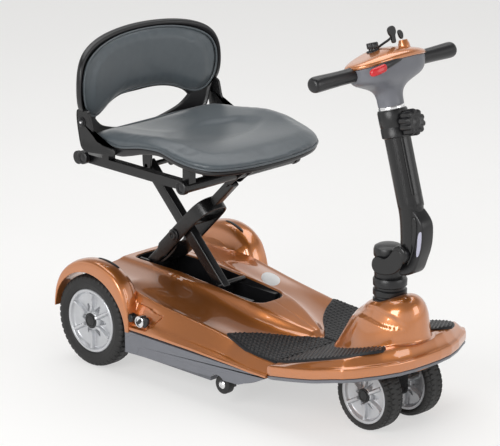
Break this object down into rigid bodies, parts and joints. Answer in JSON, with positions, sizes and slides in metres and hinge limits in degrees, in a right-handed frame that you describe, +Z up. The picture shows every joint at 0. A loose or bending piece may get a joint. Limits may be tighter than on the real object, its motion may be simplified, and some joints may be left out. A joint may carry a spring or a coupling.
{
  "type": "folding mobility scooter",
  "caption": "Compact folding mobility scooter with a scissor-mounted seat, folding steering tiller, footboard mats, rear drive wheels and a twin front wheel.",
  "frame": {"origin": "on the floor under the middle of the overall length and width", "axes": "+X forward along the length, +Y to the rider's left, +Z up"},
  "size_m": [0.9179, 0.452, 0.8459],
  "materials": {
    "body_paint": "metallic copper lacquer",
    "grey_plastic": "satin mid grey",
    "black_plastic": "satin black",
    "black_metal": "satin black paint",
    "bright_tube": "bright tube",
    "rim_metal": "silver paint",
    "tyre": "moulded rubber",
    "mat_rubber": "moulded rubber",
    "cushion": "slate grey leatherette",
    "red_plastic": "gloss red"
  },
  "bodies": {
    "chassis": {"rear_body": "body_paint", "lower_tray": "grey_plastic", "battery_box": "grey_plastic", "drive_unit": "black_plastic", "rear_axle": "black_metal", "roller_brackets": "black_metal", "slot_liner": "black_plastic", "rear_mats": "mat_rubber", "side_ports": "black_plastic", "front_body": "body_paint", "front_mats": "mat_rubber", "dome": "body_paint"},
    "rear_wheel_left": {"rear_tyre_left": "tyre", "rear_rim_left": "rim_metal"},
    "rear_wheel_right": {"rear_tyre_right": "tyre", "rear_rim_right": "rim_metal"},
    "roller_left": {"mid_roller_left": "tyre"},
    "roller_right": {"mid_roller_right": "tyre"},
    "steering": {"steering_fork": "black_metal", "steering_collar": "black_metal", "tiller_stub": "black_metal"},
    "front_wheels": {"front_tyres": "tyre", "front_rims": "rim_metal"},
    "scissor_centre": {"centre_leg": "black_metal", "leg_housing": "black_metal", "leg_cover": "black_plastic"},
    "scissor_sides": {"side_legs": "black_metal"},
    "seat": {"seat_frame": "black_metal", "seat_hinges": "black_metal", "seat_pan": "black_plastic", "seat_cushion": "cushion"},
    "backrest": {"back_shell": "black_plastic", "back_pad": "cushion"},
    "tiller": {"tiller_arm": "black_metal", "fold_lever": "black_plastic", "column_tube": "black_metal", "height_clamp": "black_metal", "clamp_knob": "black_plastic"},
    "control_head": {"inner_tube": "bright_tube", "head_lower": "grey_plastic", "head_upper": "body_paint", "handlebar": "black_metal", "grips": "mat_rubber", "speed_knob": "black_plastic", "key_clip": "black_plastic", "thumb_paddle": "red_plastic"}
  },
  "joints": [
    {"name": "rear_left_spin", "type": "hinge", "parent": "chassis", "child": "rear_wheel_left", "pos_m": [-0.346, 0.196, 0.104], "axis": [0, 1, 0], "continuous": true},
    {"name": "rear_right_spin", "type": "hinge", "parent": "chassis", "child": "rear_wheel_right", "pos_m": [-0.346, -0.196, 0.104], "axis": [0, 1, 0], "continuous": true},
    {"name": "roller_left_spin", "type": "hinge", "parent": "chassis", "child": "roller_left", "pos_m": [0.049, 0.19, 0.052], "axis": [0, 1, 0], "continuous": true},
    {"name": "roller_right_spin", "type": "hinge", "parent": "chassis", "child": "roller_right", "pos_m": [0.049, -0.19, 0.052], "axis": [0, 1, 0], "continuous": true},
    {"name": "steering_turn", "type": "hinge", "parent": "chassis", "child": "steering", "pos_m": [0.346, 0, 0.2], "axis": [0, 0, 1], "range_deg": [-35, 35]},
    {"name": "front_spin", "type": "hinge", "parent": "steering", "child": "front_wheels", "pos_m": [0.352, 0, 0.0757], "axis": [0, 1, 0], "continuous": true},
    {"name": "seat_fold", "type": "hinge", "parent": "chassis", "child": "scissor_centre", "pos_m": [-0.35314, 0, 0.19486], "axis": [0, 1, 0], "range_deg": [0, 37]},
    {"name": "scissor_cross", "type": "hinge", "parent": "scissor_centre", "child": "scissor_sides", "pos_m": [-0.24, 0, 0.308], "axis": [0, 1, 0], "range_deg": [-74, 0]},
    {"name": "seat_level", "type": "hinge", "parent": "scissor_sides", "child": "seat", "pos_m": [-0.35314, 0, 0.42114], "axis": [0, 1, 0], "range_deg": [0, 37]},
    {"name": "backrest_fold", "type": "hinge", "parent": "seat", "child": "backrest", "pos_m": [-0.384, 0, 0.547], "axis": [0, 1, 0], "range_deg": [0, 80]},
    {"name": "tiller_fold", "type": "hinge", "parent": "steering", "child": "tiller", "pos_m": [0.346, 0, 0.35], "axis": [0, -1, 0], "range_deg": [0, 72]},
    {"name": "tiller_height", "type": "slide", "parent": "tiller", "child": "control_head", "axis": [-0.279, 0, 0.9603], "range_m": [0, 0.06]}
  ],
  "couplings": [
    {"joint": "scissor_cross", "follows": "seat_fold", "ratio": -2},
    {"joint": "seat_level", "follows": "seat_fold", "ratio": 1},
    {"joint": "tiller_fold", "follows": "seat_fold", "ratio": 1.9459}
  ]
}
